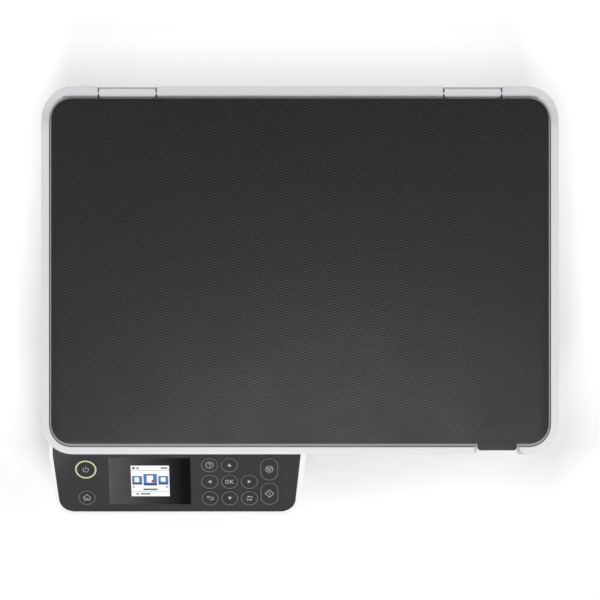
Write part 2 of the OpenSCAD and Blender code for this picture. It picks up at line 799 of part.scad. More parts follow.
// Top frame of the scanner: glass deck, rim round the lid, low rear strip with the hinge bays.
module scanner_bezel() {
    y0 = front_y;
    y1 = scanner_rear_y;
    well_x = lid_half + lid_gap;
    color([0.87, 0.87, 0.88]) difference() {
        slab(-half_w, half_w, y0, y1, 150, rim_top, scanner_corner);
        slab(-well_x, well_x, lid_front - lid_gap, lid_rear + lid_gap, deck_z, 180, lid_corner + lid_gap);
        slab(-half_w + wall, half_w - wall, y0 + wall, y1 - wall, 149, deck_z - 1.8, scanner_corner - wall);
        slab(-glass_length / 2, glass_length / 2, -86, -86 + glass_depth, 149, 180, 2);
        translate([-half_w - 1, 0, 0]) rotate([90, 0, 90]) linear_extrude(body_width + 2) polygon(concat(
            [[roll_front, rim_top + 0.01]],
            [for (i = [1:roll_steps])
                [roll_front + (roll_rear - roll_front) * i / roll_steps,
                 rim_top - (rim_top - strip_top) * (1 - cos(180 * i / roll_steps)) / 2]],
            [[y1 + 1, strip_top], [y1 + 1, rim_top + 5], [roll_front, rim_top + 5]]));
        both(block_in - bay_gap, block_out + bay_gap, 147.4, y1 + 1, 156.4, 180);
        for (side = [-1, 1])
            rod_x(side * 125.4 - 23.6, side * 125.4 + 23.6, lid_hinge_y, lid_hinge_z, 1.5 + run_gap);
        translate([0, lid_rear + lid_gap, strip_top]) rotate([45, 0, 0])
            cube([2 * (lid_half - lid_corner) + 14, 2.1, 2.1], center = true);
        translate([tab_x, 0, 0]) rotate([90, 0, 0]) linear_extrude(120) polygon([
            [-14.2, 159.5], [14.2, 159.5], [16.2, 162.5], [16.2, 180], [-16.2, 180], [-16.2, 162.5]]);
        box(127, 158.7, y0 - 1, y0 + 1.2, 166, 180);
    }
    color([0.87, 0.87, 0.88]) {
        both(98.9, 104.3, 148, y1 - 1, 154.5, 158);
        both(146.5, 151.9, 148, y1 - 1, 154.5, 158);
        both(block_in - 5, block_out + 5, 146, y1 - 0.5, 154.6, 156.4);
    }
}

module scanner_glass() {
    color([0.75, 0.82, 0.82, 0.5])
        box(-glass_length / 2 - 3.5, glass_length / 2 + 3.5, -89.5, -82.5 + glass_depth, 153.2, deck_z - 1.8);
}

module scan_rod() {
    color([0.82, 0.83, 0.85]) rod_x(-153.5, 153.5, scan_rod_y, scan_rod_z, 3);
}

// Contact image sensor bar in its carrier, on the rod.
module scan_head() {
    color([0.12, 0.12, 0.13]) difference() {
        union() {
            box(-149, -129, -82, 129, 142, 150.5);
            box(-149, -129, 14, 32, 132, 143);
            box(-147, -131, -78, -70, 133.5, 143);
            box(-147, -131, 116, 124, 133.5, 143);
        }
        rod_x(-160, -120, scan_rod_y, scan_rod_z, 3 + run_gap);
        box(-145, -133, -78, 125, 148.5, 152);
    }
    color([0.1, 0.1, 0.1]) {
        box(-144, -134, -77, 124, 148.4, 150.9);
        for (y = [-79.5, 126.5])
            rod_y(-139, y - 1.5, y + 1.5, 150.9, 1.5);
    }
}

// ---- lid ----

module lid_shell() {
    bevel = 1.1;
    color([0.2, 0.2, 0.21]) difference() {
        union() {
            hull() {
                slab(-lid_half, lid_half, lid_front, lid_rear, 160, body_height - bevel, lid_corner);
                slab(-lid_half + bevel, lid_half - bevel, lid_front + bevel, lid_rear - 0.3,
                    body_height - 0.2, body_height, lid_corner - bevel);
            }
            intersection() {
                translate([tab_x, 0, 0]) rotate([90, 0, 0]) translate([0, 0, 90]) linear_extrude(20) polygon([
                    [-12.6, 165], [12.6, 165], [tab_half, 166.5], [tab_half, 169.4], [-tab_half, 169.4],
                    [-tab_half, 166.5]]);
                slab(tab_x - tab_half, tab_x + tab_half, tab_front, lid_front + 5, 160, body_height, 2.2);
            }
        }
        slab(-lid_half + wall, lid_half - wall, lid_front + wall, lid_rear - wall, 159, body_height - 2.4,
            lid_corner - wall);
        both(block_in + 1.5, block_out - 1.5, lid_rear - 4, lid_rear + 1, 159, 163.4);
    }
    color([0.2, 0.2, 0.21]) {
        for (x = [-112, -139, 112, 139])
            post(x, 138, 162.8, body_height - 2.3, 3.2, 1.1);
        for (y = [-60, 0, 60])
            box(-lid_half + 2, lid_half - 2, y - 0.8, y + 0.8, 163.6, body_height - 2.3);
        for (x = [-120, -60, 0, 60, 120])
            box(x - 0.8, x + 0.8, lid_front + 2, 124, 163.6, body_height - 2.3);
    }
}

module lid_pad() {
    color([0.95, 0.95, 0.95]) {
        slab(-156, 156, -92, 127, 158.8, 159.4, 2);
        slab(-154, 154, -90, 125.5, 159.4, 163.6, 2);
    }
}

// Hinge blocks with their arms under the lid, and the pins they turn on.
module lid_hinges() {
    mid = (block_in + block_out) / 2;
    half = (block_out - block_in) / 2;
    color([0.87, 0.87, 0.88])
        for (side = [-1, 1])
            translate([side * mid, 0, 0]) difference() {
                union() {
                    translate([-half, 0, 0]) rotate([90, 0, 90]) linear_extrude(2 * half)
                        rounded(149.9, 156.4, 158.45, 164.95, 0.8);
                    rod_x(-half - 2.6, half + 2.6, lid_hinge_y, lid_hinge_z, 1.5);
                    box(-half + 2, half - 2, 130, 151, 160.2, 162.8);
                }
                for (x = [-13.4, 13.6])
                    translate([x, 138, 159]) cylinder(r = 1.1, h = 5);
            }
}

// ---- print carriage ----

module carriage() {
    x0 = park_x - carriage_width / 2;
    x1 = park_x + carriage_width / 2;
    color([0.13, 0.13, 0.14]) difference() {
        union() {
            box(x0, x1, -18, 42, 65.5, 84);
            box(x0, x1, 39, 42, 65.5, 112);
            box(x0, x0 + 2, -18, 42, 65.5, 100);
            box(x1 - 2, x1, -18, 42, 65.5, 100);
            box(park_x - 15, park_x + 15, -10, 32, 63, 66);
            box(x0, x0 + 14, 41, 57.5, 79, 93);
            box(x1 - 14, x1, 41, 57.5, 79, 93);
            box(park_x - 8, park_x + 8, 41, 63.5, 89.2, pulley_z - pulley_r - 1.8);
            for (i = [1:3])
                box(x0 + i * carriage_width / 4 - 0.7, x0 + i * carriage_width / 4 + 0.7, -17, 40, 83, 98);
        }
        for (i = [0:3])
            box(x0 + i * carriage_width / 4 + 2, x0 + (i + 1) * carriage_width / 4 - 2, -15.5, 37.5, 70, 85);
        rod_x(x0 - 1, x1 + 1, shaft_y, shaft_z, shaft_radius + run_gap);
        for (i = [0:3])
            box(x0 + i * carriage_width / 4 + 5, x0 + (i + 1) * carriage_width / 4 - 5, 38, 43, 88, 106);
    }
}

// Four identical cartridges, each with its own valve stub, vent and finger tab.
module ink_cartridges() {
    x0 = park_x - carriage_width / 2;
    color([0.1, 0.1, 0.11])
        for (i = [0:3])
            translate([x0 + i * carriage_width / 4, 0, 0]) {
                difference() {
                    box(2.6, carriage_width / 4 - 2.6, -15, 37, 70, 108);
                    box(4.4, carriage_width / 4 - 4.4, -14, 36, 106.6, 109);
                    box(0, carriage_width / 4, -16, -13.5, 92, 100);
                }
                box(5, carriage_width / 4 - 5, -19.5, -14.5, 100, 101.5);
                box(5, carriage_width / 4 - 5, -19.5, -18, 101, 108);
                box(4.5, carriage_width / 4 - 4.5, 35, 38.8, 107.9, 110.4);
            }
}

module pulley(x) {
    translate([x, 64.4, pulley_z]) rotate([90, 0, 0]) difference() {
        union() {
            cylinder(r = pulley_r, h = 4.8);
            translate([0, 0, -0.6]) cylinder(r = pulley_r + 0.2, h = 0.7);
        }
        for (a = [0:20:340])
            rotate([0, 0, a]) translate([pulley_r, 0, 0.5]) cylinder(r = 0.45, h = 6, $fn = 6);
        translate([0, 0, -1]) cylinder(r = x > 0 ? 1.5 + run_gap : 1 + run_gap, h = 7);
    }
}

module motor_pulley() {
    color([0.85, 0.85, 0.83]) pulley(-park_x - 18);
}

module idler_pulley() {
    color([0.85, 0.85, 0.83]) pulley(park_x + 20);
}

// ---- rollers and gears ----

module spur_gear(teeth, pitch_r, depth, h) {
    step = 360 / teeth;
    linear_extrude(h) polygon([
        for (i = [0:teeth - 1])
            for (p = [[-0.29, -1.1], [-0.14, 0.85], [0.14, 0.85], [0.29, -1.1]])
                let (r = pitch_r + p[1] * depth, a = (i + p[0]) * step)
                    [r * cos(a), r * sin(a)]
    ]);
}

module feed_roller() {
    color([0.3, 0.3, 0.31]) {
        rod_x(-plate_x - 3, plate_x + 8, feed_y, feed_z, 3);
        for (x = [-95, -45, 5, 55])
            rod_x(x, x + 40, feed_y, feed_z, feed_radius);
        translate([plate_x + 3, feed_y, feed_z]) rotate([0, 90, 0]) difference() {
            spur_gear(feed_teeth, gear_pitch_r, 0.8, 4);
            for (a = [0:60:300])
                rotate([0, 0, a]) translate([12, 0, -1]) cylinder(r = 3.6, h = 6);
        }
    }
}

module eject_roller() {
    color([0.3, 0.3, 0.31]) {
        rod_x(-plate_x - 3, plate_x + 3, eject_y, eject_z, 2.5);
        for (x = [-90, -54, -18, 18, 54, 90])
            rod_x(x - 5, x + 5, eject_y, eject_z, eject_radius);
        rod_x(plate_x + 2.2, plate_x + 4, eject_y, eject_z, 6);
    }
}

module feed_pinion() {
    color([0.85, 0.85, 0.83]) translate([plate_x + 3.2, pinion_y, pinion_z]) rotate([0, 90, 0]) difference() {
        rotate([0, 0, pinion_turn]) spur_gear(pinion_teeth, pinion_pitch_r - 0.35, 0.65, 5);
        translate([0, 0, -1]) cylinder(r = 1.04, h = 8);
    }
}

module pickup_arm() {
    color([0.18, 0.18, 0.19]) difference() {
        union() {
            rod_x(-22.4, 22.4, arm_y, arm_z, 2);
            rod_x(-19, 19, arm_y, arm_z, 3.5);
            for (x = [-19, 16])
                box(x, x + 3, arm_y, pickup_y + 3, arm_z - 3, arm_z + 2.5);
            box(-17, 17, arm_y + 1, arm_y + 14, arm_z - 1, arm_z + 1.5);
        }
        rod_x(-20, 20, pickup_y, pickup_z, 1.8 + run_gap);
    }
}

module pickup_roller() {
    color([0.1, 0.1, 0.1]) {
        rod_x(-18.9, 18.9, pickup_y, pickup_z, 1.8);
        for (x = [-14.5, 3])
            rod_x(x, x + 11.5, pickup_y, pickup_z, pickup_r);
    }
}

// ---- what is drawn ----

base_tray();
rubber_feet();
body_housing();
front_frame();
rear_cover();
paper_frame();
chassis();
guide_shaft();
platen();
cap_base();
main_board();
power_supply();
ac_inlet();
usb_socket();
carriage_motor();
feed_motor();
drive_belt();
encoder_strip();
chassis_screws();
cassette_tray();
cassette_extension();
guide_left();
guide_right();
output_tray();
tray_extension();
paper_stop();
panel_housing();
panel_fascia();
lcd_window();
lcd_module();
panel_board();
key_power();
key_home();
key_help();
key_up();
key_left();
key_ok();
key_right();
key_back();
key_down();
key_sides();
key_stop();
key_start();
scanner_case();
scanner_bezel();
scanner_glass();
scan_rod();
scan_head();
lid_shell();
lid_pad();
lid_hinges();
carriage();
ink_cartridges();
motor_pulley();
idler_pulley();
feed_roller();
eject_roller();
feed_pinion();
pickup_arm();
pickup_roller();
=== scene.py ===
import json
import math

import bmesh
import bpy
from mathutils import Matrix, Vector

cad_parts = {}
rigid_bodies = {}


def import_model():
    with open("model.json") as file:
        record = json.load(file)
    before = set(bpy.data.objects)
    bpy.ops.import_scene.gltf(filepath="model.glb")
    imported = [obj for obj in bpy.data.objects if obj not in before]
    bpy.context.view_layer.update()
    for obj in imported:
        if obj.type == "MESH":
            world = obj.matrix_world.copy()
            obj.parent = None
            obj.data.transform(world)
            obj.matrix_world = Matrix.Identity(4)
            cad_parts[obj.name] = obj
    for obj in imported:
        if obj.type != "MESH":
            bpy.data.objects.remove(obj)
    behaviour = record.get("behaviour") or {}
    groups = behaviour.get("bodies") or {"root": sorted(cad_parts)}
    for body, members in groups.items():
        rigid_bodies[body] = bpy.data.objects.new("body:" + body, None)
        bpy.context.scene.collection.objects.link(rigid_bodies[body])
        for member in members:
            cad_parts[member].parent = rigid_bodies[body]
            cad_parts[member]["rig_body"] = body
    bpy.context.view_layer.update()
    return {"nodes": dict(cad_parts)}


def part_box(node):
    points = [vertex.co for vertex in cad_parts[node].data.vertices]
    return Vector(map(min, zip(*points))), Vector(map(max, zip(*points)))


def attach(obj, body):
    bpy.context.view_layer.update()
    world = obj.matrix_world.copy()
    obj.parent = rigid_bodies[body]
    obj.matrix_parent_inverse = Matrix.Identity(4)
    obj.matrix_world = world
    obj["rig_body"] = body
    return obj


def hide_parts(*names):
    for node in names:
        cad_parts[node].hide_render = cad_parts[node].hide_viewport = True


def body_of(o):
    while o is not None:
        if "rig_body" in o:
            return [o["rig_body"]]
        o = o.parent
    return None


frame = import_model()
nodes = frame["nodes"]
MM = 0.001


# ---------------------------------------------------------------- colour and node helpers

def srgb(r, g, b):
    def line(c):
        c = c / 255
        return c / 12.92 if c <= 0.04045 else ((c + 0.055) / 1.055) ** 2.4
    return (line(r), line(g), line(b), 1.0)


def shade(colour, k):
    return tuple(min(1.0, c * k) for c in colour[:3]) + (1.0,)


class Mat:
    """A procedural material: the Principled shader with object coordinates to build on."""

    def __init__(self, name, rough=0.5, metal=0.0, coat=0.0, spec=0.5):
        self.m = bpy.data.materials.new(name)
        self.m.use_nodes = True
        self.t = self.m.node_tree
        self.b = self.t.nodes["Principled BSDF"]
        self.b.inputs["Roughness"].default_value = rough
        self.b.inputs["Metallic"].default_value = metal
        self.b.inputs["Coat Weight"].default_value = coat
        self.b.inputs["Coat Roughness"].default_value = 0.12
        self.b.inputs["Specular IOR Level"].default_value = spec
        self.pos = self.t.nodes.new("ShaderNodeTexCoord").outputs["Object"]

    def new(self, kind, **props):
        n = self.t.nodes.new(kind)
        for k, v in props.items():
            setattr(n, k, v)
        return n

    def put(self, socket, value):
        if isinstance(value, bpy.types.NodeSocket):
            self.t.links.new(value, socket)
        else:
            socket.default_value = value

    def math(self, op, a, b=0.0, c=0.0):
        n = self.new("ShaderNodeMath", operation=op)
        for i, v in enumerate((a, b, c)):
            self.put(n.inputs[i], v)
        return n.outputs[0]

    def axes(self):
        n = self.new("ShaderNodeSeparateXYZ")
        self.put(n.inputs[0], self.pos)
        return n.outputs

    def lines(self, pitch_mm):
        """Sine of X, for fine lines at an even pitch."""
        return self.math("SINE", self.math("MULTIPLY", self.axes()[0], 2 * math.pi / (pitch_mm * MM)))

    def stretch(self, x, y, z):
        n = self.new("ShaderNodeMapping")
        self.put(n.inputs["Vector"], self.pos)
        n.inputs["Scale"].default_value = (x, y, z)
        return n.outputs[0]

    def noise(self, size_mm, detail=2.0, rough=0.5, vector=None):
        n = self.new("ShaderNodeTexNoise")
        self.put(n.inputs["Vector"], vector or self.pos)
        n.inputs["Scale"].default_value = 1000.0 / size_mm
        n.inputs["Detail"].default_value = detail
        n.inputs["Roughness"].default_value = rough
        return n.outputs["Fac"]

    def span(self, value, lo, hi, to_lo=0.0, to_hi=1.0):
        n = self.new("ShaderNodeMapRange")
        self.put(n.inputs["Value"], value)
        for k, v in (("From Min", lo), ("From Max", hi), ("To Min", to_lo), ("To Max", to_hi)):
            n.inputs[k].default_value = v
        return n.outputs[0]

    def mix(self, fac, a, b):
        n = self.new("ShaderNodeMix", data_type="RGBA")
        self.put(n.inputs[0], fac)
        self.put(n.inputs[6], a)
        self.put(n.inputs[7], b)
        return n.outputs[2]

    def bump(self, height, depth_mm, strength=1.0, below=None):
        n = self.new("ShaderNodeBump")
        self.put(n.inputs["Height"], height)
        n.inputs["Strength"].default_value = strength
        n.inputs["Distance"].default_value = depth_mm * MM
        if below is not None:
            self.put(n.inputs["Normal"], below)
        self.put(self.b.inputs["Normal"], n.outputs[0])
        return n.outputs[0]

    def colour(self, value):
        self.put(self.b.inputs["Base Color"], value)

    def rough(self, value):
        self.put(self.b.inputs["Roughness"], value)


def moulded(name, colour, rough=0.45, grain_mm=0.9, depth_mm=0.02, mottle=0.04, coat=0.0, spec=0.5):
    """Injection-moulded plastic: spark-eroded grain, faint flow variation and handling sheen."""
    m = Mat(name, rough, coat=coat, spec=spec)
    flow = m.noise(60, 3)
    specks = m.noise(3.2, 2)
    tone = m.math("ADD", m.math("MULTIPLY", flow, 0.7), m.math("MULTIPLY", specks, 0.3))
    m.colour(m.mix(m.span(tone, 0.3, 0.7), shade(colour, 1 - mottle), shade(colour, 1 + mottle)))
    wipe = m.noise(28, 4, 0.6)
    m.rough(m.span(wipe, 0.3, 0.7, rough - 0.05, rough + 0.06))
    grain = m.noise(grain_mm, 2, 0.6)
    m.bump(grain, depth_mm)
    return m.m


def brushed(name, colour, rough=0.34, along="x", depth_mm=0.01):
    """Rolled or ground metal: fine lines along one direction and slow tone changes."""
    m = Mat(name, rough, metal=1.0)
    k = {"x": (0.02, 1, 1), "y": (1, 0.02, 1), "z": (1, 1, 0.02)}[along]
    lines = m.noise(0.5, 3, 0.6, m.stretch(*k))
    cloud = m.noise(22, 3)
    m.colour(m.mix(m.span(cloud, 0.3, 0.7), shade(colour, 0.86), shade(colour, 1.08)))
    m.rough(m.span(lines, 0.3, 0.7, rough - 0.08, rough + 0.12))
    m.bump(lines, depth_mm)
    return m.m


def rubbery(name, colour, rough=0.8):
    m = Mat(name, rough, spec=0.35)
    dust = m.noise(6, 4, 0.65)
    m.colour(m.mix(m.span(dust, 0.45, 0.75), colour, shade(colour, 2.2)))
    m.rough(m.span(dust, 0.3, 0.8, rough - 0.08, rough + 0.1))
    m.bump(m.noise(0.35, 2), 0.03)
    return m.m


# ---------------------------------------------------------------- materials

TONGUE_EDGE = -101.6 * MM
WAVE_LENGTH = 6.95 * MM
WAVE_PITCH = 2.05 * MM


def lid_sheet():
    """Dark lid film: rows of waves with painted highlights on their crests and troughs and painted shade
    between them, plain on the tongue at its front.
    """
    m = Mat("lid_wave", 0.42, spec=0.25)
    x, y = m.axes()[:2]
    drift = m.math("MULTIPLY", m.noise(60, 1), 2.0)
    sway = m.math("SINE", m.math("ADD", m.math("MULTIPLY", x, 2 * math.pi / WAVE_LENGTH), drift))
    lift = m.math("MULTIPLY", sway, 1.5)
    row = m.math("SINE", m.math("ADD", m.math("MULTIPLY", y, 2 * math.pi / WAVE_PITCH), lift))
    level = m.math("POWER", m.math("ABSOLUTE", sway), 2.4)
    ridge = m.math("MULTIPLY", row, m.span(level, 0, 1, 0.08, 1.0))
    # Painted highlight and shade: colour lighter on one side of each wave row and darker on the other,
    # strongest at crests and troughs, plus a random mottle.
    tone = m.math("ADD", m.span(ridge, -1, 1, 0.0, 0.8), m.span(m.noise(2.2, 2), 0.3, 0.7, -0.08, 0.08))
    base = srgb(22, 22, 23)
    inside = m.span(y, TONGUE_EDGE, TONGUE_EDGE + 0.8 * MM, 0.0, 1.0)
    tone = m.math("ADD", m.math("MULTIPLY", tone, inside), m.span(inside, 0, 1, 0.3, 0.0))
    m.colour(m.mix(tone, shade(base, 0.0), shade(base, 3.7)))
    m.rough(m.span(m.noise(40, 3), 0.3, 0.7, 0.42, 0.48))
    under = m.bump(m.math("MULTIPLY", ridge, inside), 0.045, 1.0)
    m.bump(m.noise(0.4, 2), 0.008, 1.0, under)
    return m.m


def window_black():
    """Hard-coated display window: deep black, its colour lighter towards its left edge."""
    m = Mat("window_black", 0.07, spec=0.22)
    # The colour grows lighter towards the window's left edge.
    lighter_to_left = m.span(m.axes()[0], -144 * MM, -87 * MM, 1.0, 0.0)
    base = m.mix(lighter_to_left, srgb(8, 8, 9), srgb(84, 84, 85))
    smear = m.noise(14, 4, 0.6)
    m.colour(m.mix(m.span(smear, 0.4, 0.9, 0.0, 0.25), base, srgb(24, 24, 26)))
    m.rough(m.span(smear, 0.3, 0.8, 0.04, 0.16))
    m.bump(m.noise(30, 1), 0.01)
    return m.m


def screen_light(name, colour, power=1.0):
    """Lit part of the display, with its pixel rows just visible."""
    m = Mat(name, 0.3)
    rows = m.lines(0.24)
    lit = m.mix(m.span(rows, -1, 1), shade(colour, 0.92), colour)
    m.colour(shade(colour, 0.1))
    m.put(m.b.inputs["Emission Color"], lit)
    m.b.inputs["Emission Strength"].default_value = power
    return m.m


def print_ink(name, colour, rough=0.5, fade=0.12):
    m = Mat(name, rough)
    speck = m.noise(0.5, 3, 0.7)
    m.colour(m.mix(m.span(speck, 0.35, 0.65), shade(colour, 1 - fade), colour))
    m.rough(m.span(speck, 0.3, 0.7, rough - 0.08, rough + 0.08))
    m.bump(speck, 0.01)
    return m.m


def float_glass():
    m = Mat("float_glass", 0.02)
    m.b.inputs["Transmission Weight"].default_value = 1.0
    m.b.inputs["IOR"].default_value = 1.5
    smear = m.noise(35, 4, 0.6)
    m.colour(m.mix(m.span(smear, 0.3, 0.7), (0.93, 0.97, 0.95, 1), (0.98, 1.0, 0.99, 1)))
    m.rough(m.span(smear, 0.5, 0.9, 0.01, 0.07))
    return m.m


BOARD_TOP = 16.0 * MM


def circuit_board():
    """Solder mask over copper: lighter traces in a grid, pads and pale silk marks."""
    m = Mat("circuit_board", 0.35, coat=0.3)
    cells = m.new("ShaderNodeTexVoronoi", feature="DISTANCE_TO_EDGE", distance="MANHATTAN")
    m.put(cells.inputs["Vector"], m.pos)
    cells.inputs["Scale"].default_value = 190
    trace = m.span(cells.outputs["Distance"], 0.03, 0.07, 1.0, 0.0)
    green = m.mix(m.span(m.noise(25, 2), 0.3, 0.7), srgb(18, 74, 44), srgb(28, 92, 54))
    cover = m.mix(trace, green, srgb(58, 128, 78))
    dots = m.new("ShaderNodeTexVoronoi", feature="F1")
    m.put(dots.inputs["Vector"], m.pos)
    dots.inputs["Scale"].default_value = 260
    pad = m.span(dots.outputs["Distance"], 0.10, 0.14, 1.0, 0.0)
    tall = m.span(m.axes()[2], BOARD_TOP - 0.05 * MM, BOARD_TOP + 0.2 * MM)
    chip = m.mix(m.noise(8, 1), srgb(26, 26, 28), srgb(60, 60, 62))
    m.colour(m.mix(tall, m.mix(pad, cover, srgb(196, 188, 160)), chip))
    m.rough(m.span(trace, 0, 1, 0.38, 0.28))
    m.bump(trace, 0.03)
    return m.m


def ink_blocks():
    """Cartridges: black cases, each with a paper label in its own ink's colour."""
    m = Mat("ink_blocks", 0.3, coat=0.2)
    x, y, z = m.axes()
    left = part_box("ink_cartridges")[0].x
    step = 19.0 * MM
    label = (srgb(66, 66, 70), srgb(40, 150, 205), srgb(208, 62, 128), srgb(236, 204, 60))
    ink = label[0]
    for i in (1, 2, 3):
        gap = left + step * i - 2.6 * MM
        ink = m.mix(m.span(x, gap, gap + 0.1 * MM), ink, label[i])
    onface = m.math("MULTIPLY", m.span(y, -4.0 * MM, -3.8 * MM), m.span(y, 30.0 * MM, 30.2 * MM, 1.0, 0.0))
    onface = m.math("MULTIPLY", onface, m.span(z, 106.4 * MM, 106.6 * MM))
    case = m.mix(m.noise(12, 3), srgb(24, 24, 26), srgb(38, 38, 40))
    m.colour(m.mix(onface, case, ink))
    m.rough(m.span(m.noise(9, 3), 0.3, 0.7, 0.24, 0.42))
    m.bump(m.noise(0.7, 2), 0.015)
    return m.m


def foam_sheet():
    """White document mat: smooth film over foam, faintly pressed and dusty."""
    m = Mat("foam_sheet", 0.55)
    press = m.noise(45, 3)
    fibre = m.noise(0.8, 3, 0.7)
    m.colour(m.mix(m.span(press, 0.3, 0.7), srgb(235, 235, 234), srgb(240, 240, 239)))
    m.rough(m.span(fibre, 0.3, 0.7, 0.48, 0.62))
    under = m.bump(press, 0.05)
    m.bump(fibre, 0.03, 1.0, under)
    return m.m


def ticks(name, colour, dark, pitch_mm):
    """Thin film with fine printed lines across it."""
    m = Mat(name, 0.25, coat=0.3)
    line = m.lines(pitch_mm)
    m.colour(m.mix(m.span(line, -0.1, 0.1), colour, dark))
    m.rough(m.span(m.noise(7, 2), 0.3, 0.7, 0.2, 0.32))
    m.bump(m.noise(5, 1), 0.01)
    return m.m


def knurled(name, colour, pitch_mm=1.0):
    """Rubber-coated roller: fine grooves round it and paper dust."""
    m = Mat(name, 0.75, spec=0.3)
    ring = m.lines(pitch_mm)
    dust = m.noise(4, 4, 0.7)
    m.colour(m.mix(m.span(dust, 0.5, 0.8), colour, shade(colour, 3.0)))
    m.rough(m.span(dust, 0.3, 0.8, 0.66, 0.85))
    under = m.bump(ring, 0.06)
    m.bump(m.noise(0.4, 2), 0.02, 1.0, under)
    return m.m


WHITE = srgb(240, 240, 241)
body_white = moulded("body_white", WHITE, 0.42, 0.9, 0.018, 0.02)
body_front = moulded("body_front", WHITE, 0.38, 0.9, 0.014, 0.018)
rim_silver = moulded("rim_silver", srgb(213, 212, 215), 0.36, 0.7, 0.010, 0.015, coat=0.15)
lip_silver = moulded("lip_silver", srgb(137, 137, 139), 0.5, 0.7, 0.010, 0.02, spec=0.2)
panel_white = moulded("panel_white", srgb(240, 240, 242), 0.25, 0.8, 0.006, 0.012, coat=0.3)
fascia_dark = moulded("fascia_dark", srgb(48, 48, 49), 0.46, 0.5, 0.012, 0.03, spec=0.35)
key_dark = moulded("key_dark", srgb(47, 47, 48), 0.42, 0.5, 0.008, 0.03, spec=0.35)
# Painted shade: dark colour for walls in narrow gaps, where shadow falls.
painted_gap_shade = moulded("painted_gap_shade", srgb(34, 34, 35), 0.7, 0.6, 0.008, 0.03, spec=0.1)
tab_dark = moulded("tab_dark", srgb(30, 30, 31), 0.42, 0.6, 0.010, 0.03, spec=0.22)
black_plastic = moulded("black_plastic", srgb(34, 34, 36), 0.48, 0.8, 0.025, 0.06)
grey_plastic = moulded("grey_plastic", srgb(70, 70, 73), 0.5, 0.9, 0.025, 0.05)
tray_black = moulded("tray_black", srgb(44, 44, 46), 0.44, 1.1, 0.035, 0.05)
lcd_frame = moulded("lcd_frame", srgb(176, 178, 182), 0.35, 1.0, 0.01, 0.04)
acetal = moulded("acetal", srgb(222, 220, 208), 0.38, 0.7, 0.012, 0.03)
psu_cover = moulded("psu_cover", srgb(58, 58, 60), 0.42, 0.7, 0.02, 0.08)
steel = brushed("steel", srgb(196, 198, 202), 0.32)
can_steel = brushed("can_steel", srgb(176, 176, 178), 0.28, "y")
shaft_chrome = brushed("shaft_chrome", srgb(214, 216, 220), 0.14, "x", 0.004)
screw_steel = brushed("screw_steel", srgb(184, 185, 188), 0.26, "z", 0.006)
foot_rubber = rubbery("foot_rubber", srgb(36, 36, 38))
belt_rubber = knurled("belt_rubber", srgb(30, 30, 32), 2.0)
roller_rubber = knurled("roller_rubber", srgb(52, 52, 54), 1.2)
pickup_rubber = knurled("pickup_rubber", srgb(66, 62, 60), 1.6)
encoder_film = ticks("encoder_film", srgb(150, 150, 156), srgb(36, 36, 40), 0.5)
ring_grey = print_ink("ring_grey", srgb(118, 118, 119))
mark_grey = print_ink("mark_grey", srgb(186, 186, 187))
ring_green = print_ink("ring_green", srgb(200, 214, 158), 0.35)

finish = {
    body_white: ("base_tray", "body_housing", "rear_cover", "scanner_case"),
    body_front: ("front_frame", "cassette_extension"),
    rim_silver: ("scanner_bezel", "lid_hinges"),
    panel_white: ("panel_housing",),
    fascia_dark: ("panel_fascia",),
    black_plastic: ("paper_frame", "platen", "cap_base", "ac_inlet", "scan_head", "carriage", "pickup_arm"),
    grey_plastic: ("cassette_tray", "guide_left", "guide_right"),
    tray_black: ("output_tray", "tray_extension", "paper_stop"),
    psu_cover: ("power_supply",),
    steel: ("chassis", "usb_socket"),
    can_steel: ("carriage_motor", "feed_motor"),
    shaft_chrome: ("guide_shaft", "scan_rod"),
    screw_steel: ("chassis_screws",),
    foot_rubber: ("rubber_feet",),
    belt_rubber: ("drive_belt",),
    roller_rubber: ("feed_roller", "eject_roller"),
    pickup_rubber: ("pickup_roller",),
    encoder_film: ("encoder_strip",),
    acetal: ("motor_pulley", "idler_pulley", "feed_pinion"),
    lcd_frame: ("lcd_module",),
    circuit_board(): ("main_board", "panel_board"),
    window_black(): ("lcd_window",),
    float_glass(): ("scanner_glass",),
    ink_blocks(): ("ink_cartridges",),
    foam_sheet(): ("lid_pad",),
    key_dark: tuple(n for n in nodes if n.startswith("key_")),
}
for mat, names in finish.items():
    for n in names:
        nodes[n].data.materials.clear()
        nodes[n].data.materials.append(mat)


# ---------------------------------------------------------------- edges of the CAD mouldings


def near_segment(spot, a, b):
    ab = b - a
    t = max(0.0, min(1.0, (spot - a).dot(ab) / max(ab.length_squared, 1e-18)))
    return (a + ab * t - spot).length


def roomy_edges(bm, angle, room, blocked):
    """Convex edges with enough face beside them for a radius, away from the blocked spots."""
    found = []
    for e in bm.edges:
        sharp = len(e.link_faces) == 2 and e.calc_face_angle_signed(0) >= math.radians(angle)
        if not sharp or e.calc_length() < room:
            continue
        a, b = e.verts[0].co, e.verts[1].co
        if any(near_segment(s, a, b) < room for s in blocked):
            continue
        spots = (a.lerp(b, 0.02), a.lerp(b, 0.5), a.lerp(b, 0.98))
        others = [g for f in e.link_faces for g in f.edges
                  if g is not e and g.verts[0] not in e.verts and g.verts[1] not in e.verts]
        if all(near_segment(s, g.verts[0].co, g.verts[1].co) >= room for g in others for s in spots):
            found.append(e)
    return found


def folded_spots(bm):
    """Corners of faces that no longer fill cleanly."""
    filled = {}
    for tri in bm.calc_loop_triangles():
        a, b, c = (l.vert.co for l in tri)
        filled[tri[0].face] = filled.get(tri[0].face, 0.0) + (b - a).cross(c - a).length / 2
    folded = [f for f, t in filled.items() if abs(t - f.calc_area()) > 1e-8 + 0.01 * t]
    return [v.co.copy() for f in folded for v in f.verts]


FULL_TRIES = 4
HALF_TRIES = 2


